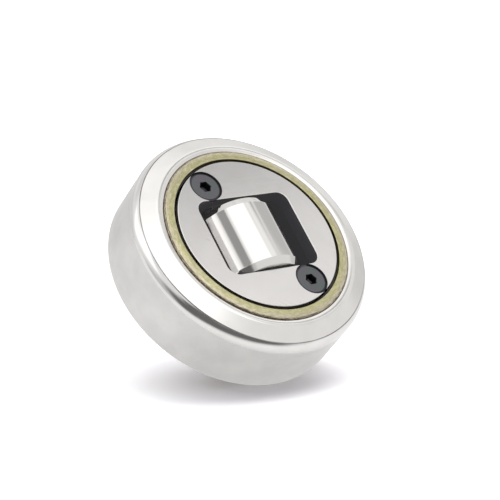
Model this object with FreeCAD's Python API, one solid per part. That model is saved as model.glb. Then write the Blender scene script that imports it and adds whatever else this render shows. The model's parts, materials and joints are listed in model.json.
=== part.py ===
import FreeCAD, Part
import math
import os

# Combined roller bearing on a plain stud: a large radial tread ring, and a small side
# roller that stands out of a window in the cover plate and runs at right angles to it.
# Frame: the origin is the centre of the stud's free end, +Z runs up the stud through the
# tread ring to the side roller, and +Y is the side roller's axis. All sizes are in mm.

Vector = FreeCAD.Vector
X_AXIS = Vector(1, 0, 0)
Z_AXIS = Vector(0, 0, 1)
ORIGIN = Vector(0, 0, 0)

# Driving dimensions: overall
total_height = 44.0
stub_diameter = 35.0
stub_length = 8.0
shoulder_diameter = 48.0
side_roller_proud = 2.5       # side roller above the cover plate
plate_proud = 0.25            # cover plate above the tread ring's front edge

# Tread ring
tread_diameter = 70.1
tread_width = 23.0
front_edge_radius = 29.0      # where the bore chamfer meets the front face
front_slope_radius = 33.7     # where the sloping front face meets the rounded shoulder
front_slope_drop = 2.2
front_rounding = 4.0
rear_rounding = 3.0
shield_seat_radius = 27.5
front_seat_depth = 4.65
rear_seat_depth = 3.25
bore_chamfer_drop = 0.38
rear_bore_chamfer = 0.4
rib_radius = 26.4
rib_width = 1.4

# Main rollers, full complement, running straight on the stud
main_roller_diameter = 6.0
main_roller_count = 26
race_radius = 22.5
running_clearance = 0.05      # radial, on each side of a roller
roller_end_clearance = 0.1
roller_chamfer = 0.35
race_relief_depth = 0.25
race_relief_width = 0.9

# Stud details
shoulder_chamfer = 0.6
stub_chamfer = 1.0
centre_hole_radius = 2.2
centre_hole_depth = 3.4
stud_top_below_plate_face = 4.0

# Shields and seals at the ends of the tread ring
shield_inner_radius = 24.75
shield_lip_drop = 0.05        # shield's inner lip below the face beside it
shield_edge_drop = 0.1        # shield's outer edge below the foot of the bore chamfer
shield_crown = 0.2            # how far the shield's face bulges between lip and edge
shield_web = 1.5
shield_rim = 0.8
shield_fit = 0.02
shield_bead = 0.2             # broken inner edge of the shield
seal_gap = 0.05               # air between a seal and its shield
seal_body_radius = 24.9       # inner radius of the seal's body
seal_thickness = 1.5
seal_lip_clearance = 0.3
seal_lip_thickness = 0.5

# Cover plate and its window
plate_radius = 23.7
plate_edge_chamfer = 0.3
window_width = 29.8           # across the side roller
window_height = 23.4          # along the side roller's axis
window_corner = 3.2
window_edge_break = 0.15
lug_width = 9.6
lug_inner = 12.9
lug_outer = 16.3

# Pocket in the stud
pocket_depth = 21.0
pocket_length = 25.0          # along the side roller's axis
slot_width = 10.1
slot_outer = 16.5

# Side roller, its needles and its axle
side_roller_diameter = 26.6
side_roller_length = 22.6
side_chamfer_length = 2.3
side_chamfer_drop = 1.0
side_edge_chamfer = 0.3
axle_diameter = 10.0
axle_length = 32.6
axle_flat_height = 8.0        # across the flats at the axle's ends
axle_flat_start = 12.8
axle_end_chamfer = 0.4
needle_diameter = 3.0
needle_length = 22.0
needle_count = 13
needle_chamfer = 0.3
washer_outer_radius = 10.0
washer_thickness = 1.0
washer_clearance = 0.05
washer_bore_clearance = 0.05
washer_flat_clearance = 0.1   # the washers' flat tops below the cover plate

# Adjusting shims, one pair under the axle's flats and one pair above them
lower_shim_thickness = 1.0
upper_shim_thickness = 0.5
shim_width = 9.4
shim_inner = 12.9
shim_outer = 16.3

# Countersunk socket screws, M5
screw_x = 9.05
screw_y = 16.55
screw_thread_radius = 2.5
screw_fit = 0.02
screw_head_radius = 4.7
screw_head_land = 0.35
screw_recess = 0.3
screw_length = 12.0
screw_edge_width = 0.6        # sloping rim round the head's flat top
screw_edge_drop = 0.2
screw_hole_radius = 2.75
socket_across_flats = 3.0
socket_depth = 2.2
socket_cone_depth = 0.7
tapped_hole_depth = 10.0
countersink_clearance = 0.12

# Heights worked out from the driving dimensions
shoulder_z = stub_length
plate_top_z = total_height - side_roller_proud
plate_bottom_z = plate_top_z - stud_top_below_plate_face
ring_front_z = plate_top_z - plate_proud
ring_rear_z = ring_front_z - tread_width
front_rib_z = ring_front_z - front_seat_depth
rear_rib_z = ring_rear_z + rear_seat_depth
race_top_z = front_rib_z - rib_width
race_bottom_z = rear_rib_z + rib_width
outer_race_radius = race_radius + main_roller_diameter + 2 * running_clearance
main_pitch_radius = (race_radius + outer_race_radius) / 2
shoulder_radius = shoulder_diameter / 2
tread_radius = tread_diameter / 2

side_roller_radius = side_roller_diameter / 2
side_axis_z = total_height - side_roller_radius
axle_radius = axle_diameter / 2
side_bore_radius = axle_radius + needle_diameter + 2 * running_clearance
needle_pitch_radius = (axle_radius + side_bore_radius) / 2
axle_flat_half = axle_flat_height / 2
slot_bottom_z = side_axis_z - axle_flat_half - lower_shim_thickness
upper_shim_top_z = side_axis_z + axle_flat_half + upper_shim_thickness
pocket_bottom_z = plate_bottom_z - pocket_depth
washer_inner_y = pocket_length / 2 - washer_clearance - washer_thickness


def revolved(edges):
    """Turn a closed outline of edges, drawn in the XZ plane, once round the Z axis."""
    face = Part.Face(Part.Wire(edges))
    return face.revolve(ORIGIN, Z_AXIS, 360)


def turned(corners):
    """A body of revolution about Z from its (radius, height) corners."""
    points = [Vector(radius, 0, height) for radius, height in corners]
    outline = Part.makePolygon(points + [points[0]])
    return revolved(outline.Edges)


def line(start, end):
    """A straight edge between two (radius, height) points."""
    return Part.LineSegment(Vector(start[0], 0, start[1]), Vector(end[0], 0, end[1])).toShape()


def arc(centre, radius, start_deg, end_deg):
    """An arc edge in the XZ plane, with its angles measured from +X towards +Z."""
    points = []
    for degrees in (start_deg, (start_deg + end_deg) / 2, end_deg):
        angle = math.radians(degrees)
        offset = Vector(radius * math.cos(angle), 0, radius * math.sin(angle))
        points.append(Vector(centre[0], 0, centre[1]) + offset)
    return Part.Arc(*points).toShape()


def roller(diameter, length, chamfer):
    """A cylinder with chamfered ends, standing on the XY plane about Z."""
    radius = diameter / 2
    return turned([
        (0, 0),
        (radius - chamfer, 0),
        (radius, chamfer),
        (radius, length - chamfer),
        (radius - chamfer, length),
        (0, length),
    ])


def laid_along_y(shape):
    """Lay a body about Z, centred on the XY plane, along the side roller's axis."""
    placed = shape.copy()
    placed.rotate(ORIGIN, X_AXIS, -90)
    placed.translate(Vector(0, 0, side_axis_z))
    return placed


def block(x_low, x_high, y_low, y_high, z_low, z_high):
    """A rectangular block between its low and high corners."""
    corner = Vector(x_low, y_low, z_low)
    return Part.makeBox(x_high - x_low, y_high - y_low, z_high - z_low, corner)


def rounded_block(width, length, corner_radius, z_low, z_high):
    """A block centred on Z with rounded upright edges."""
    body = block(-width / 2, width / 2, -length / 2, length / 2, z_low, z_high)
    upright = [edge for edge in body.Edges if edge.BoundBox.ZLength > (z_high - z_low) / 2]
    return body.makeFillet(corner_radius, upright)


def screw_places():
    """The two screws stand on one diagonal of the cover plate."""
    return [Vector(-screw_x, screw_y, 0), Vector(screw_x, -screw_y, 0)]


def make_stud():
    """One-piece stud: stub, shoulder flange and the main rollers' inner raceway."""
    stub_radius = stub_diameter / 2
    relief_radius = race_radius - race_relief_depth
    body = turned([
        (0, centre_hole_depth),
        (centre_hole_radius, 0),
        (stub_radius - stub_chamfer, 0),
        (stub_radius, stub_chamfer),
        (stub_radius, shoulder_z),
        (shoulder_radius - shoulder_chamfer, shoulder_z),
        (shoulder_radius, shoulder_z + shoulder_chamfer),
        (shoulder_radius, race_bottom_z),
        (relief_radius, race_bottom_z),
        (relief_radius, race_bottom_z + race_relief_width),
        (race_radius, race_bottom_z + race_relief_width + race_relief_depth),
        (race_radius, plate_bottom_z),
        (0, plate_bottom_z),
    ])
    pocket = rounded_block(
        window_width, pocket_length, window_corner, pocket_bottom_z, plate_bottom_z
    )
    slot = block(
        -slot_width / 2, slot_width / 2, -slot_outer, slot_outer, slot_bottom_z, plate_bottom_z
    )
    body = body.cut(pocket).cut(slot)
    for place in screw_places():
        bottom = place + Vector(0, 0, plate_bottom_z - tapped_hole_depth)
        hole = Part.makeCylinder(screw_thread_radius, tapped_hole_depth, bottom)
        body = body.cut(hole)
    return body


def make_guide_ring():
    """Hardened ring on the stud that guides the front ends of the main rollers."""
    outer = shoulder_radius
    edge = plate_edge_chamfer
    return turned([
        (race_radius, race_top_z),
        (outer, race_top_z),
        (outer, plate_bottom_z - edge),
        (outer - edge, plate_bottom_z),
        (race_radius, plate_bottom_z),
    ])


def make_outer_ring():
    """Tread ring with its raceway, two guiding ribs and a shield seat at each end."""
    front_drop_z = ring_front_z - front_slope_drop
    bend_cosine = 1 - (tread_radius - front_slope_radius) / front_rounding
    bend = math.degrees(math.acos(bend_cosine))
    front_centre_z = front_drop_z - front_rounding * math.sin(math.radians(bend))
    front_centre = (tread_radius - front_rounding, front_centre_z)
    rear_centre = (tread_radius - rear_rounding, ring_rear_z + rear_rounding)
    chamfer_foot_z = ring_front_z - bore_chamfer_drop
    rear_chamfer_radius = shield_seat_radius + rear_bore_chamfer
    corners = [
        (front_slope_radius, front_drop_z),
        (front_edge_radius, ring_front_z),
        (shield_seat_radius, chamfer_foot_z),
        (shield_seat_radius, front_rib_z),
        (rib_radius, front_rib_z),
        (rib_radius, race_top_z),
        (outer_race_radius, race_top_z),
        (outer_race_radius, race_bottom_z),
        (rib_radius, race_bottom_z),
        (rib_radius, rear_rib_z),
        (shield_seat_radius, rear_rib_z),
        (shield_seat_radius, ring_rear_z + rear_bore_chamfer),
        (rear_chamfer_radius, ring_rear_z),
        (tread_radius - rear_rounding, ring_rear_z),
    ]
    edges = [line(start, end) for start, end in zip(corners, corners[1:])]
    edges.append(arc(rear_centre, rear_rounding, -90, 0))
    edges.append(line((tread_radius, rear_centre[1]), (tread_radius, front_centre_z)))
    edges.append(arc(front_centre, front_rounding, 0, bend))
    return revolved(edges)


def make_shield(lip_z, edge_z, rim_end_z):
    """Steel shield: a crowned web that falls from its lip to its edge, and a rim in the seat."""
    inward = math.copysign(1, rim_end_z - lip_z)
    outer = shield_seat_radius - shield_fit
    lip_start = (shield_inner_radius + shield_bead, lip_z)
    crown_radius = (lip_start[0] + outer) / 2
    crown_z = (lip_z + edge_z) / 2 - inward * shield_crown
    web_back_z = lip_z + inward * shield_web
    corners = [
        (outer, edge_z),
        (outer, rim_end_z),
        (outer - shield_rim, rim_end_z),
        (outer - shield_rim, web_back_z),
        (shield_inner_radius, web_back_z),
        (shield_inner_radius, lip_z + inward * shield_bead),
        lip_start,
    ]
    crown = Part.Arc(
        Vector(lip_start[0], 0, lip_z), Vector(crown_radius, 0, crown_z), Vector(outer, 0, edge_z)
    )
    edges = [line(start, end) for start, end in zip(corners, corners[1:])]
    edges.append(crown.toShape())
    return revolved(edges)


def make_seal(shield_lip_z, inward, rubbing_radius):
    """Rubber ring behind a shield, with a thin lip that reaches towards the stud."""
    face_z = shield_lip_z + inward * (shield_web + seal_gap)
    back_z = face_z + inward * seal_thickness
    lip_z = face_z + inward * seal_lip_thickness
    outer = shield_seat_radius - shield_fit - shield_rim - seal_gap
    lip_radius = rubbing_radius + seal_lip_clearance
    return turned([
        (lip_radius, face_z),
        (outer, face_z),
        (outer, back_z),
        (seal_body_radius, back_z),
        (seal_body_radius, lip_z),
        (lip_radius, lip_z),
    ])


def make_main_rollers():
    """Full complement of cylindrical rollers round the stud's raceway."""
    length = race_top_z - race_bottom_z - 2 * roller_end_clearance
    blank = roller(main_roller_diameter, length, roller_chamfer)
    rollers = []
    for index in range(main_roller_count):
        angle = 2 * math.pi * index / main_roller_count
        x = main_pitch_radius * math.cos(angle)
        y = main_pitch_radius * math.sin(angle)
        placed = blank.copy()
        placed.translate(Vector(x, y, race_bottom_z + roller_end_clearance))
        rollers.append(placed)
    return rollers


def make_cover_plate():
    """Round plate with the side roller's window, two countersinks and two clamping lugs."""
    edge = plate_edge_chamfer
    body = turned([
        (0, plate_bottom_z),
        (plate_radius, plate_bottom_z),
        (plate_radius, plate_top_z - edge),
        (plate_radius - edge, plate_top_z),
        (0, plate_top_z),
    ])
    body = body.cut(
        rounded_block(window_width, window_height, window_corner, plate_bottom_z, plate_top_z)
    )
    window_edges = []
    for rim in body.Edges:
        on_top = rim.BoundBox.ZMin > plate_top_z - window_edge_break
        if on_top and rim.BoundBox.XMax <= window_width and rim.BoundBox.DiagonalLength < 2 * plate_radius:
            window_edges.append(rim)
    body = body.makeChamfer(window_edge_break, window_edges)
    for place in screw_places():
        body = body.cut(make_countersink().translated(place))
    for side in (-1, 1):
        lug_low, lug_high = sorted((side * lug_inner, side * lug_outer))
        lug = block(
            -lug_width / 2, lug_width / 2, lug_low, lug_high, upper_shim_top_z, plate_bottom_z
        )
        body = body.fuse(lug)
    return body.removeSplitter()


def make_countersink():
    """The space in the cover plate that a screw's head and shank pass through."""
    head = screw_head_radius + countersink_clearance
    cone_top_z = plate_top_z - screw_recess - screw_head_land
    cone_bottom_z = cone_top_z - (head - screw_hole_radius)
    return turned([
        (0, plate_bottom_z),
        (screw_hole_radius, plate_bottom_z),
        (screw_hole_radius, cone_bottom_z),
        (head, cone_top_z),
        (head, plate_top_z),
        (0, plate_top_z),
    ])


def make_screw():
    """Countersunk screw with a hexagon socket, standing on the Z axis at its own height."""
    top_z = plate_top_z - screw_recess
    cone_top_z = top_z - screw_head_land
    shank_radius = screw_thread_radius - screw_fit
    cone_bottom_z = cone_top_z - (screw_head_radius - shank_radius)
    end_z = top_z - screw_length
    body = turned([
        (0, end_z),
        (shank_radius - roller_chamfer, end_z),
        (shank_radius, end_z + roller_chamfer),
        (shank_radius, cone_bottom_z),
        (screw_head_radius, cone_top_z),
        (screw_head_radius, top_z - screw_edge_drop),
        (screw_head_radius - screw_edge_width, top_z),
        (0, top_z),
    ])
    socket_radius = socket_across_flats / math.sqrt(3)
    socket_floor_z = top_z - socket_depth
    corners = []
    for index in range(7):
        angle = math.radians(60 * index)
        x = socket_radius * math.cos(angle)
        y = socket_radius * math.sin(angle)
        corners.append(Vector(x, y, socket_floor_z))
    socket = Part.Face(Part.makePolygon(corners)).extrude(Vector(0, 0, socket_depth))
    cone_floor = Vector(0, 0, socket_floor_z - socket_cone_depth)
    cone = Part.makeCone(0, socket_across_flats / 2, socket_cone_depth, cone_floor)
    return body.cut(socket).cut(cone)


def make_side_roller():
    """Side roller: a thick-walled ring with a long chamfer towards each end."""
    half = side_roller_length / 2
    shoulder = half - side_chamfer_length
    chamfer_radius = side_roller_radius - side_chamfer_drop
    edge = side_edge_chamfer
    return laid_along_y(turned([
        (side_bore_radius, edge - half),
        (side_bore_radius + edge, -half),
        (chamfer_radius - edge, -half),
        (chamfer_radius, edge - half),
        (side_roller_radius, -shoulder),
        (side_roller_radius, shoulder),
        (chamfer_radius, half - edge),
        (chamfer_radius - edge, half),
        (side_bore_radius + edge, half),
        (side_bore_radius, half - edge),
    ]))


def make_side_axle():
    """Axle of the side roller, with flats at both ends that stop it from turning."""
    blank = roller(axle_diameter, axle_length, axle_end_chamfer)
    blank.translate(Vector(0, 0, -axle_length / 2))
    body = laid_along_y(blank)
    for side in (-1, 1):
        y_low, y_high = sorted((side * axle_flat_start, side * axle_length))
        flat_bottom_z = side_axis_z - axle_flat_half
        flat_top_z = side_axis_z + axle_flat_half
        below = block(-axle_radius, axle_radius, y_low, y_high, pocket_bottom_z, flat_bottom_z)
        above = block(-axle_radius, axle_radius, y_low, y_high, flat_top_z, plate_top_z)
        body = body.cut(below).cut(above)
    return body


def make_side_needles():
    """Full complement of needle rollers between the axle and the side roller."""
    blank = roller(needle_diameter, needle_length, needle_chamfer)
    blank.translate(Vector(0, 0, -needle_length / 2))
    needles = []
    for index in range(needle_count):
        angle = 2 * math.pi * index / needle_count
        x = needle_pitch_radius * math.cos(angle)
        y = needle_pitch_radius * math.sin(angle)
        placed = blank.copy()
        placed.translate(Vector(x, y, 0))
        needles.append(laid_along_y(placed))
    return needles


def make_thrust_washer(side):
    """Washer between the side roller's end and the pocket wall, flat under the cover plate."""
    bore = axle_radius + washer_bore_clearance
    ring = Part.makeCylinder(washer_outer_radius, washer_thickness)
    ring = ring.cut(Part.makeCylinder(bore, washer_thickness))
    start = washer_inner_y if side > 0 else -washer_inner_y - washer_thickness
    ring.translate(Vector(0, 0, start))
    flat_z = plate_bottom_z - washer_flat_clearance
    reach = washer_outer_radius
    above = block(-reach, reach, -pocket_length, pocket_length, flat_z, total_height)
    return laid_along_y(ring).cut(above)


def make_shim(side, z_low, thickness):
    """Flat steel shim over or under one end of the axle."""
    y_low, y_high = sorted((side * shim_inner, side * shim_outer))
    return block(-shim_width / 2, shim_width / 2, y_low, y_high, z_low, z_low + thickness)


def build_parts():
    """Every piece of the bearing, by name."""
    front_lip_z = plate_top_z - shield_lip_drop
    front_edge_z = ring_front_z - bore_chamfer_drop - shield_edge_drop
    rear_lip_z = ring_rear_z + shield_lip_drop
    rear_edge_z = ring_rear_z + rear_bore_chamfer + shield_edge_drop
    parts = {
        "stud": make_stud(),
        "guide_ring": make_guide_ring(),
        "outer_ring": make_outer_ring(),
        "front_shield": make_shield(front_lip_z, front_edge_z, front_rib_z),
        "rear_shield": make_shield(rear_lip_z, rear_edge_z, rear_rib_z),
        "front_seal": make_seal(front_lip_z, -1, plate_radius),
        "rear_seal": make_seal(rear_lip_z, 1, shoulder_radius),
        "cover_plate": make_cover_plate(),
        "side_roller": make_side_roller(),
        "side_axle": make_side_axle(),
    }
    for index, place in enumerate(screw_places(), start=1):
        parts["cover_screw_%d" % index] = make_screw().translated(place)
    for index, side in enumerate((-1, 1), start=1):
        upper_z = upper_shim_top_z - upper_shim_thickness
        parts["thrust_washer_%d" % index] = make_thrust_washer(side)
        parts["lower_shim_%d" % index] = make_shim(side, slot_bottom_z, lower_shim_thickness)
        parts["upper_shim_%d" % index] = make_shim(side, upper_z, upper_shim_thickness)
    for index, shape in enumerate(make_main_rollers(), start=1):
        parts["main_roller_%02d" % index] = shape
    for index, shape in enumerate(make_side_needles(), start=1):
        parts["side_needle_%02d" % index] = shape
    return parts


os.makedirs("parts", exist_ok=True)
for name, shape in build_parts().items():
    shape.exportStep("parts/" + name + ".step")
    print("%-18s volume %10.1f mm3  valid %s" % (name, shape.Volume, shape.isValid()))
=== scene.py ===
import json
import math

import bmesh
import bpy
from mathutils import Matrix, Vector, noise
from mathutils.geometry import delaunay_2d_cdt


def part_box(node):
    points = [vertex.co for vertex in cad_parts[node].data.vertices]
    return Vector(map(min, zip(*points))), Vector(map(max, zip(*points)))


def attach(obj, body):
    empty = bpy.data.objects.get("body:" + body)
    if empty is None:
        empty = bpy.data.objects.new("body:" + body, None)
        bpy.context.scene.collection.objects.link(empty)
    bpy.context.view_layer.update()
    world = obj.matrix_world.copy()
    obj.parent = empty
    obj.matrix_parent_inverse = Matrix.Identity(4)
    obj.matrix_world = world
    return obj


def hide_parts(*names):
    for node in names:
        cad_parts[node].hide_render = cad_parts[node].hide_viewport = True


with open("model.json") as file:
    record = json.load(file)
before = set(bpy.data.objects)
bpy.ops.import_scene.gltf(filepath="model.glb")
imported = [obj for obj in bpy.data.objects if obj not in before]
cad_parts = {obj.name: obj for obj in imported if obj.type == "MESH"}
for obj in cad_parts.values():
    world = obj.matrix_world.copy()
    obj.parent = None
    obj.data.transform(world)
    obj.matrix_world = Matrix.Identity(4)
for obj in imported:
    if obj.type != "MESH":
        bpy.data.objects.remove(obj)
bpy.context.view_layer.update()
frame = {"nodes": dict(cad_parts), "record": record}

MM = 0.001

# The bearing leans on the rim of its tread ring and on the edge of its stub, towards -Y.
LEAN = math.radians(47.4)
FLOOR_UP = Vector((0, math.sin(LEAN), math.cos(LEAN)))
FLOOR_SIDE = Vector((1, 0, 0))
FLOOR_BACK = FLOOR_UP.cross(FLOOR_SIDE)

# Camera: a long lens that looks at a point near the cover plate's underside.
CAMERA_AIM = Vector((-2.43, -2.92, 37.76)) * MM
CAMERA_DISTANCE = 0.4555
CAMERA_AZIMUTH = math.radians(-56.07)
CAMERA_ELEVATION = math.radians(44.26)
CAMERA_ROLL = math.radians(37.46)
CAMERA_LENS = 122.4
CAMERA_BACK = Vector((
    math.sin(CAMERA_AZIMUTH) * math.cos(CAMERA_ELEVATION),
    -math.cos(CAMERA_AZIMUTH) * math.cos(CAMERA_ELEVATION),
    math.sin(CAMERA_ELEVATION),
))
# The studio's own directions along the floor: towards the camera, and to its right.
FLOOR_FRONT = (CAMERA_BACK - FLOOR_UP * CAMERA_BACK.dot(FLOOR_UP)).normalized()
FLOOR_RIGHT = FLOOR_UP.cross(FLOOR_FRONT)

SEGMENTS = 240                   # round a turned piece
SCREW_SEGMENTS = 96              # round a screw and its countersink
ARC_STEP = math.radians(10)      # along a rounded corner
SHARP_ANGLE = math.radians(32)
SUPPORT_GAP = 0.03 * MM          # extra loops hold a long strip's shading flat up to its ends
SUPPORTED_LENGTH = 0.7 * MM

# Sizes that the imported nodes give, in metres.


def turned_size(node):
    """Inner radius, outer radius, lowest and highest height of a node turned about the Z axis."""
    points = [vertex.co for vertex in frame["nodes"][node].data.vertices]
    radii = [math.hypot(point.x, point.y) for point in points]
    heights = [point.z for point in points]
    return min(radii), max(radii), min(heights), max(heights)


rib_radius, tread_radius, ring_rear, ring_front = turned_size("outer_ring")
plate_low, plate_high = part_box("cover_plate")
side_low, side_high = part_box("side_roller")
side_centre = (side_low + side_high) / 2
side_radius = (side_high.x - side_low.x) / 2
side_trim = 0.35 * MM            # the shell is this much shorter at each end than its node
side_half = (side_high.y - side_low.y) / 2 - side_trim
side_slide = 1.5 * side_trim     # along its axle: 0.025 mm too far, into thrust_washer_1

# Tread ring.
front_edge_radius = 29.0 * MM
front_slope_radius = 33.7 * MM
front_slope_drop = 2.2 * MM
front_rounding = 4.0 * MM
rear_rounding = 3.0 * MM
seat_radius = 27.5 * MM
front_seat_depth = 4.65 * MM
rear_seat_depth = 3.25 * MM
bore_chamfer_drop = 0.34 * MM
rear_bore_chamfer = 0.4 * MM
rib_width = 1.4 * MM
race_radius = 28.6 * MM
ring_edge = 0.12 * MM            # rounding of the ring's small edges
front_land_rounding = 2.2 * MM   # crown between the bore's chamfer and the sloping face
groove_width = 0.26 * MM         # fine turned line between the sloping face and the rounding, in the darker bore finish: painted shade in the crease
groove_depth = 0.1 * MM
seat_edge = 0.12 * MM            # broken edge where the seat meets the bore's chamfer

# Shields and seals.
front_edge_drop = 0.1 * MM       # front shield's outer edge below the ring's face
rear_edge_drop = 0.1 * MM        # rear shield's outer edge inside the ring's chamfer
shield_crown = 0.08 * MM
shield_web = 1.5 * MM
shield_rim = 0.8 * MM
shield_corner = 0.42 * MM        # bend between the web and the rim
shield_lip = 0.1 * MM
shield_reach = 0.15 * MM         # lip's extra reach towards the stud
shield_dent = 0.012 * MM
WEB_STEPS = 20                   # equal steps across the web; its points are WEB_FIRST to WEB_LAST
WEB_FIRST = 4
WEB_LAST = 17
COARSE_DENTS = 0.45              # noise scales of the dents, per millimetre
FINE_DENTS = 1.3
FINE_SHARE = 0.5                 # height of the fine dents against the coarse ones
DENT_TOP = 1 + FINE_SHARE        # both at their highest, so that dents only go inwards
seal_body_radius = 24.9 * MM
seal_lip_thickness = 0.5 * MM

# Cover plate and its screws.
plate_thickness = 4.0 * MM
plate_rounding = 0.18 * MM
window_width = 30.0 * MM
window_height = 23.7 * MM
window_corner = 3.2 * MM
window_land = 3.0 * MM           # upper part of the window's left wall, near-white: a painted highlight for the side roller to mirror; the rest is near-black with the pocket's painted glow
window_rounding = 0.2 * MM
lug_half_width = 4.8 * MM
lug_inner = 12.9 * MM
lug_outer = 16.3 * MM
screw_recess = 0.3 * MM
screw_head_land = 0.35 * MM
screw_rim_width = 0.6 * MM
screw_rim_drop = 0.2 * MM
screw_shank_radius = 2.48 * MM
screw_hole_radius = 2.75 * MM
countersink_clearance = 0.12 * MM
socket_half_width = 1.5 * MM
socket_depth = 2.2 * MM
socket_cone_depth = 0.7 * MM

# Side roller.
side_bore_radius = 8.1 * MM
side_chamfer_length = 2.05 * MM
side_chamfer_drop = 1.0 * MM
side_edge = 0.3 * MM


# The stud's near-black pocket: above this height and inside this radius, in millimetres.
POCKET_FLOOR = 16.3
POCKET_REACH = 22.3
POCKET_BLACK = (0.040, 0.038, 0.044)
POCKET_GLOW = 0.03               # painted glow, in place of the light that the pocket's walls would scatter
POCKET_GLOW_COLOR = (0.95, 0.95, 1, 1)


class Look:
    """A node material being built: a Principled shader and short ways to add and join nodes."""

    def __init__(self, name, color, metallic, roughness):
        self.material = bpy.data.materials.new(name)
        self.material.use_nodes = True
        self.nodes = self.material.node_tree.nodes
        self.links = self.material.node_tree.links
        self.shader = self.nodes["Principled BSDF"]
        self.set("Base Color", (*color, 1))
        self.set("Metallic", metallic)
        self.set("Roughness", roughness)

    def set(self, socket, value):
        self.shader.inputs[socket].default_value = value

    def feed(self, socket, source):
        self.links.new(source, self.shader.inputs[socket])

    def add(self, kind, **settings):
        node = self.nodes.new(kind)
        for name, value in settings.items():
            setattr(node, name, value)
        return node

    def place(self, centre=(0, 0, 0), stretch=(1, 1, 1)):
        """The piece's own coordinates about a centre, in millimetres, stretched for a pattern."""
        coordinates = self.add("ShaderNodeTexCoord")
        shift = self.add("ShaderNodeVectorMath", operation="SUBTRACT")
        scale = self.add("ShaderNodeVectorMath", operation="MULTIPLY")
        self.links.new(coordinates.outputs["Object"], shift.inputs[0])
        shift.inputs[1].default_value = centre
        self.links.new(shift.outputs[0], scale.inputs[0])
        scale.inputs[1].default_value = [part / MM for part in stretch]
        return scale.outputs[0]

    def math(self, operation, first, second=None, third=None):
        node = self.add("ShaderNodeMath", operation=operation)
        for index, value in enumerate((first, second, third)):
            if value is None:
                continue
            if isinstance(value, (int, float)):
                node.inputs[index].default_value = value
            else:
                self.links.new(value, node.inputs[index])
        return node.outputs[0]

    def radius(self):
        """Distance from the Z axis, in millimetres."""
        length = self.add("ShaderNodeVectorMath", operation="LENGTH")
        self.links.new(self.place(stretch=(1, 1, 0)), length.inputs[0])
        return length.outputs["Value"]

    def along(self, axis):
        """Distance along an axis, in millimetres."""
        product = self.add("ShaderNodeVectorMath", operation="DOT_PRODUCT")
        self.links.new(self.place(), product.inputs[0])
        product.inputs[1].default_value = axis
        return product.outputs["Value"]

    def turned_place(self, round_scale, across_scale):
        """Coordinates for marks that run round the Z axis: slow round the piece, quick across it."""
        split = self.add("ShaderNodeSeparateXYZ")
        self.links.new(self.place(), split.inputs[0])
        join = self.add("ShaderNodeCombineXYZ")
        self.links.new(self.math("MULTIPLY", split.outputs["X"], round_scale), join.inputs["X"])
        self.links.new(self.math("MULTIPLY", split.outputs["Y"], round_scale), join.inputs["Y"])
        across = self.math("SUBTRACT", self.radius(), split.outputs["Z"])
        self.links.new(self.math("MULTIPLY", across, across_scale), join.inputs["Z"])
        return join.outputs[0]

    def noise(self, place, scale, detail=2.0, roughness=0.5):
        node = self.add("ShaderNodeTexNoise")
        node.inputs["Scale"].default_value = scale
        node.inputs["Detail"].default_value = detail
        node.inputs["Roughness"].default_value = roughness
        self.links.new(place, node.inputs["Vector"])
        return node.outputs["Fac"]

    def spread(self, value, low, high, new_low=0.0, new_high=1.0, smooth=False):
        """Map a value's range to a new one, clamped."""
        node = self.add("ShaderNodeMapRange")
        if smooth:
            node.interpolation_type = "SMOOTHSTEP"
        node.inputs["From Min"].default_value = low
        node.inputs["From Max"].default_value = high
        node.inputs["To Min"].default_value = new_low
        node.inputs["To Max"].default_value = new_high
        self.links.new(value, node.inputs["Value"])
        return node.outputs["Result"]

    def blend(self, factor, first, second):
        """Mix two colours, each a fixed colour or another node's output."""
        node = self.add("ShaderNodeMix", data_type="RGBA")
        self.links.new(factor, node.inputs["Factor"])
        colour_inputs = [socket for socket in node.inputs if socket.type == "RGBA"]
        for socket, value in zip(colour_inputs, (first, second)):
            if isinstance(value, tuple):
                socket.default_value = (*value, 1)
            else:
                self.links.new(value, socket)
        return [socket for socket in node.outputs if socket.type == "RGBA"][0]

    def bump(self, height, depth, previous=None):
        """Add a bump whose full height is depth metres; returns its normal."""
        node = self.add("ShaderNodeBump")
        node.inputs["Strength"].default_value = 1.0
        node.inputs["Distance"].default_value = depth
        self.links.new(height, node.inputs["Height"])
        if previous is not None:
            self.links.new(previous, node.inputs["Normal"])
        return node.outputs["Normal"]


def build_turned_look(name, color, dark_color, roughness, marks, marks_depth, anisotropy):
    """Lathe-turned or ground steel about the Z axis: marks that run round, and faint mottling."""
    look = Look(name, color, 1, roughness)
    fine = look.noise(look.turned_place(0.05, marks), 1.0, 3)
    mottle = look.noise(look.place(), 0.16, 3)
    tone = look.spread(mottle, 0.35, 0.68)
    look.feed("Base Color", look.blend(tone, dark_color, color))
    uneven = look.math("MULTIPLY_ADD", fine, 0.12, roughness - 0.06)
    cloudy = look.math("MULTIPLY_ADD", mottle, 0.05, -0.025)
    look.feed("Roughness", look.math("ADD", uneven, cloudy))
    look.set("Anisotropic", anisotropy)
    tangent = look.add("ShaderNodeTangent", direction_type="RADIAL", axis="Z")
    look.feed("Tangent", tangent.outputs[0])
    look.feed("Normal", look.bump(fine, marks_depth))
    return look


def turned_look(*settings):
    return build_turned_look(*settings).material


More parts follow.
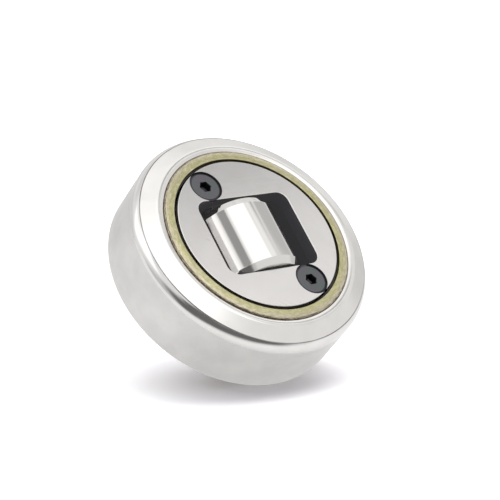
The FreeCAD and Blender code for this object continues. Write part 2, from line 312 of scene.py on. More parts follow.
def make_stud_look():
    """Turned steel outside; the pocket and everything under the cover plate is near-black, with a
    faint painted glow.
    """
    look = build_turned_look(
        "turned_stud", (0.62, 0.61, 0.60), (0.57, 0.56, 0.55), 0.3, 5.0, 0.002 * MM, 0.3
    )
    split = look.add("ShaderNodeSeparateXYZ")
    look.links.new(look.place(), split.inputs[0])
    above = look.math("GREATER_THAN", split.outputs["Z"], POCKET_FLOOR)
    within = look.math("LESS_THAN", look.radius(), POCKET_REACH)
    inside = look.math("MULTIPLY", above, within)
    steel = look.shader.inputs["Base Color"].links[0].from_socket
    look.feed("Base Color", look.blend(inside, steel, POCKET_BLACK))
    # The pocket's painted glow, in place of the light scattered there.
    look.set("Emission Color", POCKET_GLOW_COLOR)
    look.feed("Emission Strength", look.math("MULTIPLY", inside, POCKET_GLOW))
    polish = look.shader.inputs["Roughness"].links[0].from_socket
    look.feed("Roughness", look.math("MAXIMUM", polish, look.math("MULTIPLY", inside, 0.5)))
    return look.material


def scratch_mask(look, turn_degrees, length, spacing, width):
    """A few fine straight scratches: thin level lines of a stretched, broken-up noise."""
    coordinates = look.place()
    rotate = look.add("ShaderNodeVectorRotate", rotation_type="Z_AXIS")
    rotate.inputs["Angle"].default_value = math.radians(turn_degrees)
    look.links.new(coordinates, rotate.inputs["Vector"])
    stretch = look.add("ShaderNodeVectorMath", operation="MULTIPLY")
    stretch.inputs[1].default_value = (1 / length, 1 / spacing, 1 / spacing)
    look.links.new(rotate.outputs[0], stretch.inputs[0])
    lines = look.noise(stretch.outputs[0], 1.0, 0)
    gap = look.math("ABSOLUTE", look.math("SUBTRACT", lines, 0.5))
    thin = look.spread(gap, 0.0, width, 1.0, 0.0)
    patches = look.spread(look.noise(look.place(), 0.10, 1), 0.60, 0.70)
    return look.math("MULTIPLY", thin, patches)


def make_looks():
    """All finishes, by a plain name."""
    looks = {}
    looks["tread"] = turned_look(
        "ground_tread", (0.67, 0.655, 0.64), (0.61, 0.595, 0.585), 0.36, 9.0, 0.0012 * MM, 0.3
    )
    looks["face"] = turned_look(
        "turned_face", (0.74, 0.725, 0.70), (0.70, 0.685, 0.66), 0.19, 7.0, 0.0008 * MM, 0.2
    )
    looks["rounding"] = turned_look(
        "polished_rounding", (0.73, 0.715, 0.70), (0.69, 0.675, 0.66), 0.12, 7.0, 0.0003 * MM, 0.0
    )
    looks["bore"] = turned_look(
        "ring_bore", (0.55, 0.54, 0.53), (0.42, 0.41, 0.41), 0.32, 6.0, 0.001 * MM, 0.0
    )
    looks["stud"] = make_stud_look()
    looks["plate"] = make_plate_look()
    # Near-black with the pocket's painted glow, for the window's walls and the lugs.
    looks["oxide"] = make_oxide_look("near_black_painted_glow", POCKET_BLACK, 0.5, POCKET_GLOW)
    looks["milled"] = make_window_look()
    looks["shield"] = make_shield_look()
    looks["tarnish_and_shade"] = make_tarnish_and_shade_look()
    looks["rubber"] = make_rubber_look()
    looks["screw"] = make_oxide_look("black_screw", (0.125, 0.125, 0.13), 0.36)
    # Painted shade: the socket is darker than the head, as shade in its recess.
    looks["socket"] = make_oxide_look("socket_painted_shade", (0.05, 0.05, 0.055), 0.4)
    looks["sink"] = make_oxide_look("countersink_wall", (0.28, 0.28, 0.285), 0.3)
    # Painted shade: a near-black outline on the head's rim and edge and the socket's mouth, as the
    # shade of the gap round the head.
    looks["rim"] = make_oxide_look("screw_rim_painted_shade", (0.045, 0.045, 0.05), 0.35)
    looks["chrome"] = make_chrome_look()
    looks["roller"] = make_roller_look()
    looks["shim"] = make_shim_look()
    return looks


def make_plate_look():
    """Surface-ground plate: straight grinding lines, faint handling marks, a slightly warm grey."""
    look = Look("ground_plate", (0.68, 0.67, 0.66), 1, 0.18)
    lines = look.noise(look.place(stretch=(0.12, 9.0, 1.0)), 1.0, 3)
    mottle = look.noise(look.place(), 0.12, 3)
    scratches = scratch_mask(look, 38, 16.0, 2.2, 0.012)
    tone = look.blend(look.spread(mottle, 0.3, 0.7), (0.67, 0.65, 0.635), (0.71, 0.69, 0.675))
    look.feed("Base Color", look.blend(scratches, tone, (0.40, 0.39, 0.38)))
    look.feed("Roughness", look.math("MULTIPLY_ADD", lines, 0.1, 0.13))
    look.feed("Normal", look.bump(lines, 0.00008 * MM))
    return look.material


def make_window_look():
    """The upper part of the window's left wall: finely milled steel made near-white, a painted
    highlight for the side roller to mirror.
    """
    look = Look("window_land_painted_highlight", (0.93, 0.925, 0.92), 1, 0.3)
    lines = look.noise(look.place(stretch=(4.0, 4.0, 0.3)), 1.0, 2)
    look.feed("Roughness", look.math("MULTIPLY_ADD", lines, 0.1, 0.25))
    return look.material


def make_oxide_look(name, color, roughness, glow=0.0):
    """Black-oxide steel with a slight green and purple cast in patches; glow, where given, is a
    painted glow.
    """
    look = Look(name, color, 0.85, roughness)
    look.set("Emission Color", POCKET_GLOW_COLOR)
    look.set("Emission Strength", glow)
    cast = look.noise(look.place(), 0.5, 2)
    grain = look.noise(look.place(), 6.0, 3)
    green = tuple(part * tint for part, tint in zip(color, (0.92, 1.04, 0.98)))
    purple = tuple(part * tint for part, tint in zip(color, (1.06, 0.96, 1.08)))
    look.feed("Base Color", look.blend(look.spread(cast, 0.4, 0.6), green, purple))
    look.feed("Roughness", look.math("MULTIPLY_ADD", grain, 0.2, roughness - 0.1))
    look.feed("Normal", look.bump(grain, 0.003 * MM))
    return look.material


def make_tarnish_and_shade_look():
    """The shield's outer bend: dark brown, partly tarnished zinc and partly painted shade in the
    groove beside the ring, with lighter broken marks.
    """
    look = Look("tarnished_zinc_and_painted_shade", (0.30, 0.25, 0.19), 1, 0.4)
    wear = look.noise(look.turned_place(1.0, 4.0), 0.9, 3, 0.7)
    marks = look.spread(wear, 0.42, 0.66)
    look.feed("Base Color", look.blend(marks, (0.15, 0.12, 0.09), (0.56, 0.49, 0.37)))
    return look.material


def make_shield_look():
    """Yellow-passivated zinc: yellower near the lip, pinkish outside, streaked, with specks."""
    look = Look("yellow_zinc", (0.72, 0.70, 0.42), 1, 0.3)
    outward = look.spread(look.radius(), 25.4, 27.0, smooth=True)
    blotches = look.noise(look.turned_place(0.18, 0.5), 1.0, 4, 0.65)
    fine = look.noise(look.place(), 3.5, 2)
    drift = look.math("ADD", outward, look.math("MULTIPLY_ADD", blotches, 2.4, -1.1))
    zinc = look.blend(look.spread(drift, 0.0, 1.0), (0.57, 0.55, 0.27), (0.63, 0.57, 0.47))
    lines = look.noise(look.turned_place(0.6, 9.0), 1.0, 2)
    lined = look.blend(look.spread(lines, 0.3, 0.75), zinc, (0.44, 0.41, 0.25))
    grain = look.noise(look.turned_place(0.7, 1.8), 1.0, 4, 0.7)
    grainy = look.blend(look.spread(grain, 0.48, 0.66), lined, (0.40, 0.37, 0.22))
    pale = look.blend(look.spread(grain, 0.42, 0.30), grainy, (0.72, 0.67, 0.52))
    specks = look.spread(fine, 0.62, 0.70)
    look.feed("Base Color", look.blend(specks, pale, (0.34, 0.29, 0.18)))
    look.feed("Roughness", look.math("MULTIPLY_ADD", blotches, 0.2, 0.2))
    look.feed("Normal", look.bump(fine, 0.01 * MM))
    return look.material


def make_rubber_look():
    """Black nitrile rubber."""
    look = Look("nitrile_rubber", (0.04, 0.038, 0.036), 0, 0.55)
    grain = look.noise(look.place(), 5.0, 3)
    look.feed("Roughness", look.math("MULTIPLY_ADD", grain, 0.3, 0.4))
    look.feed("Normal", look.bump(grain, 0.01 * MM))
    return look.material


def make_chrome_look():
    """Polished hard steel of the side roller, with faint polishing lines round its axis."""
    look = Look("polished_roller", (0.67, 0.655, 0.635), 1, 0.06)
    lines = look.noise(look.place(centre=side_centre, stretch=(0.1, 7.0, 0.1)), 1.0, 2)
    smears = look.noise(look.place(centre=side_centre, stretch=(0.6, 0.12, 0.6)), 1.0, 2)
    uneven = look.math("MULTIPLY_ADD", lines, 0.04, 0.02)
    look.feed("Roughness", look.math("ADD", uneven, look.math("MULTIPLY", smears, 0.08)))
    look.feed("Normal", look.bump(lines, 0.0002 * MM))
    return look.material


def make_roller_look():
    """Bearing steel of the hidden rollers, needles and axle."""
    look = Look("bearing_steel", (0.70, 0.70, 0.69), 1, 0.2)
    film = look.noise(look.place(), 0.8, 2)
    look.feed("Base Color", look.blend(film, (0.60, 0.59, 0.57), (0.74, 0.74, 0.73)))
    look.feed("Roughness", look.math("MULTIPLY_ADD", film, 0.2, 0.12))
    return look.material


def make_shim_look():
    """Rolled shim stock."""
    look = Look("rolled_shim", (0.58, 0.57, 0.55), 1, 0.35)
    lines = look.noise(look.place(stretch=(0.3, 8.0, 8.0)), 1.0, 2)
    look.feed("Roughness", look.math("MULTIPLY_ADD", lines, 0.25, 0.25))
    look.feed("Normal", look.bump(lines, 0.002 * MM))
    return look.material


looks = make_looks()


def rounded_outline(corners):
    """Points round a closed outline of (radius, height, rounding, finish) corners.

    Each rounded corner becomes a tangent arc. Returns (radius, height, finish) points, where the
    finish belongs to the strip that starts at the point.
    """
    points = []
    count = len(corners)
    for index, (radius, height, rounding, finish) in enumerate(corners):
        here = Vector((radius, height))
        if rounding == 0:
            points.append((here.x, here.y, finish))
            continue
        before = Vector(corners[index - 1][:2]) - here
        after = Vector(corners[(index + 1) % count][:2]) - here
        turn = math.pi - before.angle(after)
        setback = rounding * math.tan(turn / 2)
        middle = (before.normalized() + after.normalized()).normalized()
        centre = here + middle * (rounding / math.cos(turn / 2))
        start = here + before.normalized() * setback - centre
        steps = max(2, math.ceil(turn / ARC_STEP))
        side = 1 if before.cross(after) < 0 else -1
        previous_finish = corners[index - 1][3]
        for step in range(steps + 1):
            angle = side * turn * step / steps
            spoke = Matrix.Rotation(angle, 2) @ start
            strip_finish = finish if step >= steps / 2 else previous_finish
            points.append((centre.x + spoke.x, centre.y + spoke.y, strip_finish))
    return supported(points)


def supported(points):
    """Add a point just inside each end of every long strip."""
    result = []
    for index, (radius, height, finish) in enumerate(points):
        result.append((radius, height, finish))
        start = Vector((radius, height))
        strip = Vector(points[(index + 1) % len(points)][:2]) - start
        if strip.length < SUPPORTED_LENGTH:
            continue
        for distance in (SUPPORT_GAP, strip.length - SUPPORT_GAP):
            spot = start + strip.normalized() * distance
            result.append((spot.x, spot.y, finish))
    return result


def mesh_object(mesh, name, finishes):
    """Turn a bmesh into an object with its finishes."""
    bmesh.ops.recalc_face_normals(mesh, faces=mesh.faces)
    data = bpy.data.meshes.new(name)
    mesh.to_mesh(data)
    mesh.free()
    for finish in finishes:
        data.materials.append(looks[finish])
    piece = bpy.data.objects.new(name, data)
    bpy.context.scene.collection.objects.link(piece)
    return piece


def settle(piece, body, replaced):
    """Shade a finished piece smooth between its sharp edges and tie it to the frame."""
    piece.data.shade_smooth()
    piece.data.set_sharp_from_angle(angle=SHARP_ANGLE)
    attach(piece, body)
    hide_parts(replaced)
    return piece


def finish_mesh(mesh, name, finishes, body, replaced):
    return settle(mesh_object(mesh, name, finishes), body, replaced)


def cut_away(piece, cutters):
    """Cut other objects' shapes out of a piece and remove those objects."""
    for cutter in cutters:
        cut = piece.modifiers.new("cut", "BOOLEAN")
        cut.object = cutter
        cut.solver = "EXACT"
    graph = bpy.context.evaluated_depsgraph_get()
    data = bpy.data.meshes.new_from_object(piece.evaluated_get(graph))
    piece.modifiers.clear()
    data.name = piece.name
    piece.data = data
    for cutter in cutters:
        bpy.data.objects.remove(cutter)


def hexagon_radius(half_width, angle):
    """Distance from a hexagon's centre to its side at an angle."""
    sixth = math.pi / 3
    return half_width / math.cos(angle % sixth - sixth / 2)


def turned_mesh(points, finishes, to_space, segments=SEGMENTS, hexagon_within=0.0):
    """A closed body: an outline of (radius, height, finish) points turned about an axis.

    A point on the axis becomes one vertex. Points up to the radius hexagon_within lie on hexagons.
    """
    mesh = bmesh.new()
    rings = []
    for radius, height, _ in points:
        ring = []
        for step in range(segments if radius > 0 else 1):
            angle = 2 * math.pi * step / segments
            reach = hexagon_radius(radius, angle) if radius <= hexagon_within else radius
            spot = Vector((reach * math.cos(angle), reach * math.sin(angle), height))
            ring.append(mesh.verts.new(to_space(spot)))
        rings.append(ring)
    for index, ring in enumerate(rings):
        following = rings[(index + 1) % len(rings)]
        if len(ring) == len(following) == 1:
            continue
        material_index = finishes.index(points[index][2])
        for step in range(segments):
            after = (step + 1) % segments
            corners = [ring[step % len(ring)], ring[after % len(ring)]]
            corners += [following[after % len(following)], following[step % len(following)]]
            face = mesh.faces.new(list(dict.fromkeys(corners)))
            face.material_index = material_index
    return mesh


def upright(spot):
    """A turned piece about the Z axis stays where its outline puts it."""
    return spot


def upright_about(centre):
    """A turned piece about an upright axis through a centre."""

    def moved(spot):
        return Vector((centre.x + spot.x, centre.y + spot.y, spot.z))

    return moved


def sideways(spot):
    """A turned piece about the side roller's axis, slid along it: outline heights run along Y."""
    return side_centre + Vector((spot.x, spot.z - side_slide, -spot.y))


def make_tread_ring():
    """Tread ring: ground tread, polished front rounding, turned faces and a plainer bore."""
    front_rib = ring_front - front_seat_depth
    rear_rib = ring_rear + rear_seat_depth
    bend = math.acos(1 - (tread_radius - front_slope_radius) / front_rounding)
    slope_foot = ring_front - front_slope_drop
    centre_radius = tread_radius - front_rounding
    centre_height = slope_foot - front_rounding * math.sin(bend)
    corners = [
        (seat_radius, ring_front - bore_chamfer_drop - 2 * seat_edge, 0, "bore"),
        (seat_radius + seat_edge, ring_front - bore_chamfer_drop - seat_edge / 2, ring_edge, "face"),
        (front_edge_radius, ring_front, front_land_rounding, "face"),
    ]
    corners += [
        # The groove takes the darker bore finish: painted shade in the crease.
        (front_slope_radius - groove_width, slope_foot + groove_width / 2, 0, "bore"),
        (front_slope_radius - groove_width / 2, slope_foot - groove_depth, 0, "bore"),
    ]
    steps = math.ceil(2 * bend / ARC_STEP)
    for step in range(steps):
        angle = bend * (1 - step / steps)
        radius = centre_radius + front_rounding * math.cos(angle)
        height = centre_height + front_rounding * math.sin(angle)
        corners.append((radius, height, 0, "rounding"))
    corners += [
        (tread_radius, centre_height, 0, "tread"),
        (tread_radius, ring_rear, rear_rounding, "face"),
        (seat_radius + rear_bore_chamfer, ring_rear, ring_edge, "face"),
        (seat_radius, ring_rear + rear_bore_chamfer, ring_edge, "bore"),
        (seat_radius, rear_rib, 0, "bore"),
        (rib_radius, rear_rib, ring_edge, "bore"),
        (rib_radius, rear_rib + rib_width, ring_edge, "bore"),
        (race_radius, rear_rib + rib_width, 0, "bore"),
        (race_radius, front_rib - rib_width, 0, "bore"),
        (rib_radius, front_rib - rib_width, ring_edge, "bore"),
        (rib_radius, front_rib, ring_edge, "bore"),
        (seat_radius, front_rib, 0, "bore"),
    ]
    finishes = ["tread", "rounding", "face", "bore"]
    mesh = turned_mesh(rounded_outline(corners), finishes, upright)
    return finish_mesh(mesh, "tread_ring", finishes, "tread", "outer_ring")


def make_shield(node, name, lip_height, rim_height, edge_height):
    """Pressed zinc shield: a rolled lip, a crowned web with slight dents, a bend and a rim."""
    inner, outer, _, _ = turned_size(node)
    inner -= shield_reach
    outward = math.copysign(1, lip_height - rim_height)
    web_back = lip_height - outward * shield_web
    corners = [(inner, lip_height, shield_lip, "shield")]
    for step in range(WEB_FIRST, WEB_LAST + 1):
        part = step / WEB_STEPS
        height = lip_height + (edge_height - lip_height) * part
        height += outward * shield_crown * 4 * part * (1 - part)
        # The web's last strip and the bend are dark brown: partly tarnished zinc, partly painted
        # shade in the groove.
        finish = "tarnish_and_shade" if step == WEB_LAST else "shield"
        corners.append((inner + (outer - inner) * part, height, 0, finish))
    corners += [
        (outer, edge_height, shield_corner, "tarnish_and_shade"),
        (outer, rim_height, shield_lip, "shield"),
        (outer - shield_rim, rim_height, shield_lip, "shield"),
        (outer - shield_rim, web_back, 0, "shield"),
        (inner, web_back, shield_lip, "shield"),
    ]
    finishes = ["shield", "tarnish_and_shade"]
    mesh = turned_mesh(rounded_outline(corners), finishes, upright)
    for vertex in mesh.verts:
        if math.hypot(vertex.co.x, vertex.co.y) < outer - shield_corner:
            coarse = noise.noise(vertex.co / MM * COARSE_DENTS)
            fine = noise.noise(vertex.co / MM * FINE_DENTS)
            wave = coarse + FINE_SHARE * fine
            vertex.co.z += shield_dent * (wave - DENT_TOP) * outward
    return finish_mesh(mesh, name, finishes, "tread", node)


def make_seal(node, name, face_height, back_height):
    """Rubber seal: a body behind the shield and a thin lip towards the stud."""
    inner, outer, _, _ = turned_size(node)
    inward = math.copysign(1, back_height - face_height)
    lip_height = face_height + inward * seal_lip_thickness
    soft = seal_lip_thickness / 3
    corners = [
        (inner, face_height, soft, "rubber"),
        (outer, face_height, soft, "rubber"),
        (outer, back_height, soft, "rubber"),
        (seal_body_radius, back_height, soft, "rubber"),
        (seal_body_radius, lip_height, soft, "rubber"),
        (inner, lip_height, soft, "rubber"),
    ]
    mesh = turned_mesh(rounded_outline(corners), ["rubber"], upright)
    return finish_mesh(mesh, name, ["rubber"], "tread", node)


def make_screw(node, name):
    """Countersunk screw: flat head with a sloping rim, a hexagon socket and a plain shank. Its rim,
    edge and socket are near-black: painted shade.
    """
    low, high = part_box(node)
    centre = (low + high) / 2
    head = (high.x - low.x) / 2
    top = high.z
    cone_top = top - screw_head_land
    soft = screw_rim_drop / 2
    floor = top - socket_depth
    outline = [
        (0, floor - socket_cone_depth, 0, "socket"),
        (socket_half_width, floor, 0, "socket"),
        (socket_half_width, top - soft, 0, "rim"),
        (socket_half_width + soft, top, 0, "screw"),
        (head - screw_rim_width, top, soft, "rim"),
        (head, top - screw_rim_drop, soft / 2, "rim"),
        (head, cone_top, soft / 2, "screw"),
        (screw_shank_radius, cone_top - (head - screw_shank_radius), soft, "screw"),
        (screw_shank_radius, low.z, soft, "screw"),
        (0, low.z, 0, "screw"),
    ]
    finishes = ["screw", "socket", "rim"]
    mesh = turned_mesh(
        rounded_outline(outline), finishes, upright_about(centre), segments=SCREW_SEGMENTS,
        hexagon_within=socket_half_width + soft,
    )
    return finish_mesh(mesh, name, finishes, "stud", node)


def round_loop(grow):
    """The cover plate's outline, grown by an offset."""
    radius = plate_high.x + grow
    angles = [2 * math.pi * step / SEGMENTS for step in range(SEGMENTS)]
    return [(radius * math.cos(angle), radius * math.sin(angle)) for angle in angles]


def window_loop(grow):
    """The window's outline, a rounded rectangle, grown by an offset."""
    points = []
    steps = 12
    reach = window_corner + grow
    for quarter in range(4):
        middle_x = (window_width / 2 - window_corner) * (1 if quarter in (0, 3) else -1)
        middle_y = (window_height / 2 - window_corner) * (1 if quarter in (0, 1) else -1)
        for step in range(steps + 1):
            angle = math.pi / 2 * (quarter + step / steps)
            points.append((middle_x + reach * math.cos(angle), middle_y + reach * math.sin(angle)))
    return points


def rounded_rim(top, rounding, outward):
    """(grow, height) levels of a rounded upper edge, from the flat face to the wall."""
    levels = [(-outward * (rounding + SUPPORT_GAP), top)]
    steps = 4
    for step in range(steps + 1):
        angle = math.pi / 2 * step / steps
        grow = -outward * rounding * (1 - math.sin(angle))
        levels.append((grow, top - rounding * (1 - math.cos(angle))))
    return levels


def make_cover_plate():
    """Ground cover plate: rounded edges, a window, two countersinks and two clamping lugs."""
    top = plate_high.z
    bottom = top - plate_thickness
    left_limit = (window_corner - window_width) / 2     # beyond this is the window's left wall
    finishes = ["plate", "oxide", "milled", "sink"]
    mesh = bmesh.new()
    outlines = [
        (round_loop, rounded_rim(top, plate_rounding, 1), "plate"),
        (window_loop, rounded_rim(top, window_rounding, -1) + [(0, top - window_land)], "oxide"),
    ]
    top_rings = []
    bottom_rings = []
    for loop, levels, wall_finish in outlines:
        rings = []
        for grow, height in levels + [(0, bottom)]:
            rings.append([mesh.verts.new((x, y, height)) for x, y in loop(grow)])
        for upper, lower in zip(rings, rings[1:]):
            walls = upper[0].co.z < top - plate_rounding / 2
            for step in range(len(upper)):
                after = (step + 1) % len(upper)
                face = mesh.faces.new((upper[step], upper[after], lower[after], lower[step]))
                finish = wall_finish if walls else "plate"
                # The upper left wall gets the near-white finish, a painted highlight for the side
                # roller to mirror.
                left = face.calc_center_median().x < left_limit
                if walls and left and loop is window_loop and lower is not rings[-1]:
                    finish = "milled"
                face.material_index = finishes.index(finish)
        top_rings.append(rings[0])
        bottom_rings.append(rings[-1])
    fill_between(mesh, *top_rings)
    fill_between(mesh, *bottom_rings)
    for side in (-1, 1):
        add_lug(mesh, side, plate_low.z, bottom + plate_rounding, finishes.index("oxide"))
    plate = mesh_object(mesh, "cover_plate_ground", finishes)
    cut_away(plate, [countersink(number, finishes) for number in (1, 2)])
    return settle(plate, "stud", "cover_plate")


def countersink(number, finishes):
    """The space that a screw's head and shank need, from just above the plate to well below it."""
    low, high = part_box(f"cover_screw_{number}")
    centre = (low + high) / 2
    head = (high.x - low.x) / 2 + countersink_clearance
    top = plate_high.z
    cone_top = top - screw_recess - screw_head_land
    outline = [
        (0, top - 2 * plate_thickness, "sink"),
        (screw_hole_radius, top - 2 * plate_thickness, "sink"),
        (screw_hole_radius, cone_top - (head - screw_hole_radius), "sink"),
        (head, cone_top, "sink"),
        (head, top + plate_rounding, "sink"),
        (0, top + plate_rounding, "sink"),
    ]
    mesh = turned_mesh(outline, finishes, upright_about(centre), segments=SCREW_SEGMENTS)
    return mesh_object(mesh, "cutter", finishes)


def fill_between(mesh, outer, inner):
    """Fill a level face between an outer ring of vertices and a convex inner ring."""
    corners = outer + inner
    edges = []
    for first, count in ((0, len(outer)), (len(outer), len(inner))):
        edges += [(first + step, first + (step + 1) % count) for step in range(count)]
    flat = [corner.co.to_2d() for corner in corners]
    inside = 1
    filled = delaunay_2d_cdt(flat, edges, [], inside, 0)
    originals = [found[0] for found in filled[3]]
    for triangle in filled[2]:
        places = [originals[index] for index in triangle]
        if min(places) < len(outer):
            mesh.faces.new([corners[place] for place in places])


def add_lug(mesh, side, low, high, material_index):
    """One lug under the plate, which presses on the axle's upper shim."""
    size = Vector((2 * lug_half_width, lug_outer - lug_inner, high - low))
    centre = Vector((0, side * (lug_inner + lug_outer) / 2, (low + high) / 2))
    place = Matrix.Translation(centre) @ Matrix.Diagonal((*size, 1))
    made = bmesh.ops.create_cube(mesh, size=1, matrix=place)
    edges = {edge for vertex in made["verts"] for edge in vertex.link_edges}
    bevelled = bmesh.ops.bevel(
        mesh, geom=list(edges), offset=window_rounding, segments=3, profile=0.5, affect="EDGES"
    )
    for face in {face for vertex in bevelled["verts"] for face in vertex.link_faces}:
        face.material_index = material_index


def make_side_roller():
    """Side roller: polished, with a long chamfer towards each end and rounded edges."""
    shoulder = side_half - side_chamfer_length
    end_radius = side_radius - side_chamfer_drop
    corners = [
        (side_bore_radius, -side_half, side_edge, "roller"),
        (end_radius, -side_half, side_edge, "chrome"),
        (side_radius, -shoulder, side_edge, "chrome"),
        (side_radius, shoulder, side_edge, "chrome"),
        (end_radius, side_half, side_edge, "roller"),
        (side_bore_radius, side_half, side_edge, "roller"),
    ]
    finishes = ["chrome", "roller"]
    mesh = turned_mesh(rounded_outline(corners), finishes, sideways)
    return finish_mesh(
        mesh, "side_roller_shell", finishes, "side_roller", "side_roller"
    )


make_tread_ring()
_, _, front_rim, front_lip = turned_size("front_shield")
_, _, rear_lip, rear_rim = turned_size("rear_shield")
make_shield(
    "front_shield", "front_shield_web", front_lip, front_rim, ring_front - front_edge_drop,
)
make_shield(
    "rear_shield", "rear_shield_web", rear_lip, rear_rim,
    ring_rear + rear_bore_chamfer + rear_edge_drop,
)
_, _, front_seal_back, front_seal_face = turned_size("front_seal")
_, _, rear_seal_face, rear_seal_back = turned_size("rear_seal")
make_seal("front_seal", "front_seal_lip", front_seal_face, front_seal_back)
make_seal("rear_seal", "rear_seal_lip", rear_seal_face, rear_seal_back)
make_cover_plate()
make_screw("cover_screw_1", "countersunk_screw_1")
make_screw("cover_screw_2", "countersunk_screw_2")
make_side_roller()

node_finish = {
    "ring_steel": "face",
    "stud_steel": "stud",
    "plate_steel": "plate",
    "polished_steel": "roller",
    "shim_steel": "shim",
    "shield_zinc": "shield",
    "seal_rubber": "rubber",
    "screw_black": "screw",
}
slot_of = {part["node"]: part["material_slot"] for part in frame["record"]["subparts"]}
for node, obj in frame["nodes"].items():
    for index in range(len(obj.data.materials)):
        obj.material_slots[index].material = looks[node_finish[slot_of[node]]]


SKY_ON_FLOOR = 0.5               # share of the sky's light that reaches matt surfaces
SKY_LEVEL = 1.0
SKY_TOP = 0.3                    # added brightness overhead, growing in over these degrees of rise
SKY_TOP_RISE = (45, 75)
# Soft panels for the polished faces to mirror, each laid over those before it:
# brightness, turn and rise from and to in degrees, blur, and lean.
SKY_PANELS = [
    (0.42, (132, 150), (49, 66), 3, 0.5),
    (1.25, (110, 128), (42, 58), 4, 0.5),
    (0.80, (112, 143), (-20, 18), 12, 0.0),
    (0.82, (-190, -112), (-10, 24), 12, 0.0),
    (0.82, (158, 190), (-10, 26), 12, 0.0),
    (0.76, (138, 190), (-20, 4), 12, 0.0),
    (1.3, (133, 152), (33, 60), 4, 0.0),
    (0.68, (158, 165), (17, 44), 4, 1.0),
    (0.86, (-180, -118), (38, 62), 16, 0.0),
    (1.6, (-8, 84), (31, 86), 10, 0.0),
    (0.90, (67, 102), (26, 46), 10, 0.0),
    (1.5, (-104, -42), (18, 53), 10, 0.0),
    (0.44, (5, 39), (44, 80), 6, 0.95),
    (0.42, (17, 30), (12, 48), 5, 0.95),
    (0.70, (-84, 92), (-90, 6), 16, 0.0),
    (0.17, (-50, 60), (-90, 4), 22, 0.0),
    (0.17, (-20, 12), (-4, 12), 8, 0.0),
]

LAMP_ENERGY = 1.25
LAMP_LEAD = 0.4                  # share by which the right lamp is stronger, and the left one weaker
LAMP_SPREAD = 50
LAMP_TURN = 140
LAMP_RISE = 72

FLOOR_COLOR = (0.925, 0.91, 0.945)
FLOOR_LIFT = 0.36                # brightness of its own that the floor adds, as the camera sees it
CONTACT_LEFT = 5                 # the contact shadow's middle is this many mm left of the contact
CONTACT_DARK = 9                 # mm from that middle at which the added brightness starts
CONTACT_CLEAR = 32               # and at which it is full
# In reflections the floor is greyer, with brightness of its own that falls with the distance
# from that middle, and its front fades out. Distances are in millimetres.
MIRRORED_COLOR = (0.35, 0.35, 0.35)
FLOOR_MIRRORED = 0.70            # its own brightness near the object
FLOOR_DIM = 0.58                 # and far from it
DIM_FROM = 30
DIM_TO = 110
FLOOR_NEAR = 68                  # where the floor's front starts to fade out, and has gone
FLOOR_FAR = 100
FLOOR_SKEW = 0.4                 # how much nearer that is for each millimetre to the right


class Sky:
    """The studio round the object, as a world shader in the floor's own directions."""

    def __init__(self):
        self.world = bpy.data.worlds.new("studio")
        self.world.use_nodes = True
        self.nodes = self.world.node_tree.nodes
        self.links = self.world.node_tree.links
        self.direction = self.nodes.new("ShaderNodeTexCoord").outputs["Generated"]
        front = self.along(FLOOR_FRONT)
        right = self.along(FLOOR_RIGHT)
        up = self.along(FLOOR_UP)
        self.turn = self.degrees(self.math("ARCTAN2", right, front))
        self.rise = self.degrees(self.math("ARCSINE", up))

    def math(self, operation, first, second=None):
        node = self.nodes.new("ShaderNodeMath")
        node.operation = operation
        for index, value in enumerate((first, second)):
            if value is None:
                continue
            if isinstance(value, (int, float)):
                node.inputs[index].default_value = value
            else:
                self.links.new(value, node.inputs[index])
        return node.outputs[0]

    def along(self, axis):
        node = self.nodes.new("ShaderNodeVectorMath")
        node.operation = "DOT_PRODUCT"
        self.links.new(self.direction, node.inputs[0])
        node.inputs[1].default_value = axis
        return node.outputs["Value"]

    def degrees(self, value):
        return self.math("MULTIPLY", value, math.degrees(1))

    def step(self, value, start, end):
        node = self.nodes.new("ShaderNodeMapRange")
        node.interpolation_type = "SMOOTHSTEP"
        node.inputs["From Min"].default_value = start
        node.inputs["From Max"].default_value = end
        self.links.new(value, node.inputs["Value"])
        return node.outputs["Result"]

    def window(self, value, low, high, blur):
        """One between low and high, falling to nothing over the blur at each end."""
        rising = self.step(value, low - blur / 2, low + blur / 2)
        falling = self.step(value, high + blur / 2, high - blur / 2)
        return self.math("MULTIPLY", rising, falling)

    def panel(self, light, level, turn, rise, blur, lean=0.0):
        """Lay a soft-edged panel of one brightness over the light so far.

        turn and rise are its low and high edges in degrees; lean moves the panel to the left by
        that many degrees for each degree of rise.
        """
        upright = self.math("ADD", self.turn, self.math("MULTIPLY", self.rise, lean))
        across = self.window(upright, *turn, blur)
        inside = self.math("MULTIPLY", across, self.window(self.rise, *rise, blur))
        change = self.math("MULTIPLY", inside, self.math("SUBTRACT", level, light))
        return self.math("ADD", light, change)


def make_world():
    """Soft studio light: plain white to the camera, and the listed panels in reflections."""
    sky = Sky()
    light = sky.math("MULTIPLY", sky.step(sky.rise, *SKY_TOP_RISE), SKY_TOP)
    light = sky.math("ADD", light, SKY_LEVEL)
    for level, turn, rise, blur, lean in SKY_PANELS:
        light = sky.panel(light, level, turn, rise, blur, lean)
    background = sky.nodes["Background"]
    background.inputs["Color"].default_value = (1, 1, 1, 1)
    path = sky.nodes.new("ShaderNodeLightPath")
    soft = sky.math("MULTIPLY", path.outputs["Is Diffuse Ray"], SKY_ON_FLOOR - 1)
    light = sky.math("MULTIPLY", light, sky.math("ADD", soft, 1.0))
    seen = sky.math("MULTIPLY", path.outputs["Is Camera Ray"], sky.math("SUBTRACT", 1.0, light))
    sky.links.new(sky.math("ADD", light, seen), background.inputs["Strength"])
    bpy.context.scene.world = sky.world


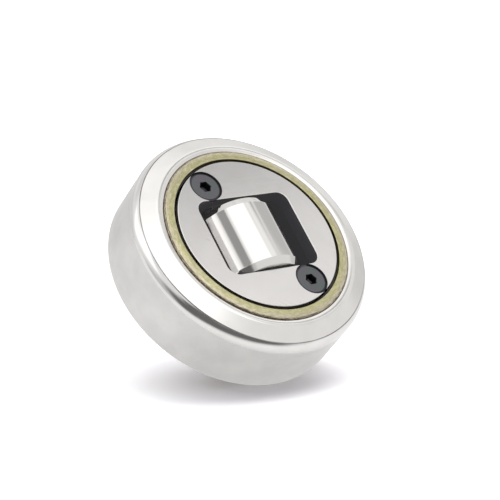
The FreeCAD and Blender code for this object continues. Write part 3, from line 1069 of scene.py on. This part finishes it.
def make_lamp(name, side):
    """A large soft lamp high up behind the object and to one side, unseen in reflections."""
    data = bpy.data.lights.new(name, "SUN")
    data.energy = LAMP_ENERGY * (1 + LAMP_LEAD * side)
    data.angle = math.radians(LAMP_SPREAD)
    lamp = bpy.data.objects.new(name, data)
    bpy.context.scene.collection.objects.link(lamp)
    turn = math.radians(LAMP_TURN * side)
    rise = math.radians(LAMP_RISE)
    level = FLOOR_FRONT * math.cos(turn) + FLOOR_RIGHT * math.sin(turn)
    towards = level * math.cos(rise) + FLOOR_UP * math.sin(rise)
    lamp.rotation_mode = "QUATERNION"
    lamp.rotation_quaternion = (-towards).to_track_quat("-Z", "Y")
    lamp.visible_glossy = False


def make_floor_look(contact):
    """Pale to the camera and greyer in reflections, with brightness of its own in both.

    To the camera, a patch by the contact goes without it, so that the shadow there stays dark.
    """
    look = Look("floor_look", FLOOR_COLOR, 0, 0.7)
    look.set("Specular IOR Level", 0.1)
    look.set("Emission Color", (1, 1, 1, 1))
    facing = look.add("ShaderNodeNewGeometry")
    ahead = look.along(FLOOR_FRONT)
    aside = look.math("MAXIMUM", look.along(FLOOR_RIGHT), 0.0)
    skewed = look.math("MULTIPLY_ADD", aside, FLOOR_SKEW, ahead)
    beyond = look.spread(skewed, FLOOR_NEAR, FLOOR_FAR, smooth=True)
    mirrored = look.math("SUBTRACT", 1.0, look.add("ShaderNodeLightPath").outputs["Is Camera Ray"])
    look.feed("Base Color", look.blend(mirrored, FLOOR_COLOR, MIRRORED_COLOR))
    away = look.add("ShaderNodeVectorMath", operation="DISTANCE")
    look.links.new(look.place(), away.inputs[0])
    away.inputs[1].default_value = contact / MM - FLOOR_RIGHT * CONTACT_LEFT
    lift = look.spread(away.outputs["Value"], CONTACT_DARK, CONTACT_CLEAR, 0.0, FLOOR_LIFT)
    direct = look.math("MULTIPLY", lift, look.math("SUBTRACT", 1.0, mirrored))
    own = look.spread(away.outputs["Value"], DIM_FROM, DIM_TO, FLOOR_MIRRORED, FLOOR_DIM)
    look.feed("Emission Strength", look.math("MULTIPLY_ADD", mirrored, own, direct))
    open_front = look.math("MULTIPLY", beyond, mirrored)
    hidden = look.math("MAXIMUM", facing.outputs["Backfacing"], open_front)
    mix = look.add("ShaderNodeMixShader")
    unseen = look.add("ShaderNodeBsdfTransparent")
    look.links.new(hidden, mix.inputs["Fac"])
    look.links.new(look.shader.outputs["BSDF"], mix.inputs[1])
    look.links.new(unseen.outputs["BSDF"], mix.inputs[2])
    look.links.new(mix.outputs["Shader"], look.nodes["Material Output"].inputs["Surface"])
    return look.material


def make_floor():
    """A floor that the ring's rim and the stub's edge rest on, seen only from above."""
    ring_points = [vertex.co for vertex in frame["nodes"]["outer_ring"].data.vertices]
    stud_points = [vertex.co for vertex in frame["nodes"]["stud"].data.vertices]
    drop = min(point.dot(FLOOR_UP) for point in ring_points + stud_points)
    centre = FLOOR_UP * drop
    contact = min(ring_points, key=lambda point: point.dot(FLOOR_UP))
    reach = 3.0
    corners = []
    for side, back in ((-1, -1), (1, -1), (1, 1), (-1, 1)):
        corners.append(centre + (FLOOR_SIDE * side + FLOOR_BACK * back) * reach)
    mesh = bpy.data.meshes.new("studio_floor")
    mesh.from_pydata(corners, [], [(0, 1, 2, 3)])
    floor = bpy.data.objects.new("studio_floor", mesh)
    bpy.context.scene.collection.objects.link(floor)
    mesh.materials.append(make_floor_look(contact))


def make_camera():
    data = bpy.data.cameras.new("camera")
    data.lens = CAMERA_LENS
    data.sensor_width = 36
    data.clip_start = 0.01
    camera = bpy.data.objects.new("camera", data)
    bpy.context.scene.collection.objects.link(camera)
    turn = (-CAMERA_BACK).to_track_quat("-Z", "Y").to_matrix().to_4x4()
    roll = Matrix.Rotation(CAMERA_ROLL, 4, "Z")
    place = Matrix.Translation(CAMERA_AIM + CAMERA_BACK * CAMERA_DISTANCE)
    camera.matrix_world = place @ turn @ roll
    bpy.context.scene.camera = camera


make_floor()
make_world()
make_lamp("left_lamp", -1)
make_lamp("right_lamp", 1)
make_camera()
bpy.context.scene.view_settings.view_transform = "Standard"
